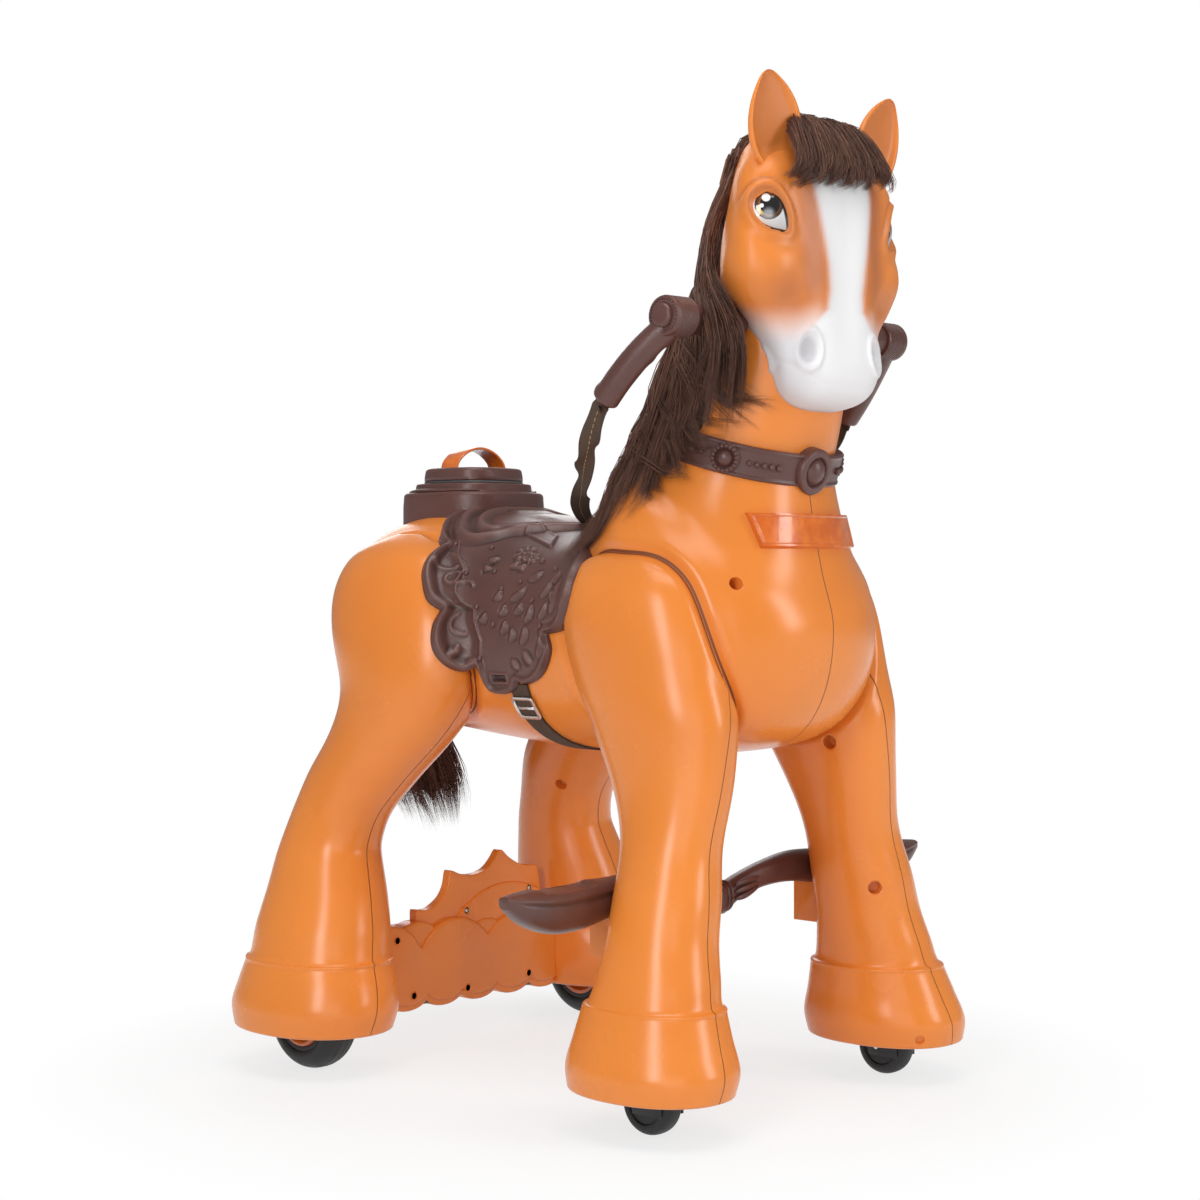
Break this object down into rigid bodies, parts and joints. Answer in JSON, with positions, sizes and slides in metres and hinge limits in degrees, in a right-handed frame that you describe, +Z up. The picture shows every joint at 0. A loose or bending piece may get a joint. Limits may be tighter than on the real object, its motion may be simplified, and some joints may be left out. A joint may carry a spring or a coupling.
{
  "type": "ride-on toy horse",
  "caption": "Upright moulded plastic horse for a child to ride, with saddle, hand grips, footrest, driven rear wheels, front castors and a lift-off battery lid.",
  "frame": {"origin": "on the floor under the middle of the whole horse", "axes": "+X forward towards the muzzle, +Y to the horse's left, +Z up"},
  "size_m": [0.7336, 0.668, 1.0574],
  "materials": {
    "orange_plastic": "gloss",
    "brown_plastic": "satin",
    "orange_trim": "gloss",
    "black_rubber": "matte",
    "brown_hair": "hair",
    "brown_webbing": "woven",
    "steel": "bright",
    "eye_plastic": "gloss",
    "grey_plastic": "matte",
    "green_board": "satin"
  },
  "bodies": {
    "horse": {"body_shell_right": "orange_plastic", "body_shell_left": "orange_plastic", "head_shell": "orange_plastic", "ear_right": "orange_plastic", "ear_left": "orange_plastic", "front_right_leg_outer": "orange_plastic", "front_right_leg_inner": "orange_plastic", "front_left_leg_outer": "orange_plastic", "front_left_leg_inner": "orange_plastic", "rear_right_leg_outer": "orange_plastic", "rear_right_leg_inner": "orange_plastic", "rear_left_leg_outer": "orange_plastic", "rear_left_leg_inner": "orange_plastic", "drive_cover_front": "orange_plastic", "drive_cover_rear": "orange_plastic", "footrest_bracket_right": "orange_plastic", "footrest_bracket_left": "orange_plastic", "neck_collar": "brown_plastic", "saddle": "brown_plastic", "cantle": "brown_plastic", "footrest_bar": "brown_plastic", "grip_right": "brown_plastic", "grip_left": "brown_plastic", "chest_plate": "orange_trim", "mane": "brown_hair", "forelock": "brown_hair", "tail": "brown_hair", "rein_strap": "brown_webbing", "girth_strap": "brown_webbing", "motor_right": "steel", "motor_left": "steel", "girth_buckle_right": "steel", "girth_buckle_left": "steel", "handle_tube": "steel", "eye_right": "eye_plastic", "eye_left": "eye_plastic", "castor_plate_right": "grey_plastic", "castor_plate_left": "grey_plastic", "gearbox_right": "grey_plastic", "gearbox_left": "grey_plastic", "battery_box": "grey_plastic", "battery": "grey_plastic", "speaker": "grey_plastic", "control_board": "green_board"},
    "rear_wheel_right": {"rear_tyre_right": "black_rubber", "rear_hub_right": "orange_trim", "drive_axle_right": "steel"},
    "castor_right": {"castor_fork_right": "steel", "castor_axle_right": "steel"},
    "castor_roller_right": {"castor_wheel_right": "black_rubber"},
    "button_right": {"thumb_button_right": "brown_plastic"},
    "rear_wheel_left": {"rear_tyre_left": "black_rubber", "rear_hub_left": "orange_trim", "drive_axle_left": "steel"},
    "castor_left": {"castor_fork_left": "steel", "castor_axle_left": "steel"},
    "castor_roller_left": {"castor_wheel_left": "black_rubber"},
    "button_left": {"thumb_button_left": "brown_plastic"},
    "lid": {"cantle_lid": "brown_plastic", "lid_strap": "orange_trim"}
  },
  "joints": [
    {"name": "rear_wheel_spin_right", "type": "hinge", "parent": "horse", "child": "rear_wheel_right", "pos_m": [-0.2188, -0.224, 0.062], "axis": [0, 1, 0], "continuous": true},
    {"name": "castor_swivel_right", "type": "hinge", "parent": "horse", "child": "castor_right", "pos_m": [0.2822, -0.194, 0.0734], "axis": [0, 0, 1], "continuous": true},
    {"name": "castor_spin_right", "type": "hinge", "parent": "castor_right", "child": "castor_roller_right", "pos_m": [0.2682, -0.194, 0.032], "axis": [0, 1, 0], "continuous": true},
    {"name": "button_press_right", "type": "slide", "parent": "horse", "child": "button_right", "axis": [0, 1, 0], "range_m": [0, 0.004], "stiffness_N_per_m": 500, "springref_m": -0.002},
    {"name": "rear_wheel_spin_left", "type": "hinge", "parent": "horse", "child": "rear_wheel_left", "pos_m": [-0.2188, 0.224, 0.062], "axis": [0, 1, 0], "continuous": true},
    {"name": "castor_swivel_left", "type": "hinge", "parent": "horse", "child": "castor_left", "pos_m": [0.2822, 0.194, 0.0734], "axis": [0, 0, 1], "continuous": true},
    {"name": "castor_spin_left", "type": "hinge", "parent": "castor_left", "child": "castor_roller_left", "pos_m": [0.2682, 0.194, 0.032], "axis": [0, 1, 0], "continuous": true},
    {"name": "button_press_left", "type": "slide", "parent": "horse", "child": "button_left", "axis": [0, -1, 0], "range_m": [0, 0.004], "stiffness_N_per_m": 500, "springref_m": -0.002},
    {"name": "lid_lift", "type": "slide", "parent": "horse", "child": "lid", "axis": [0, 0, 1], "range_m": [0, 0.12]}
  ]
}
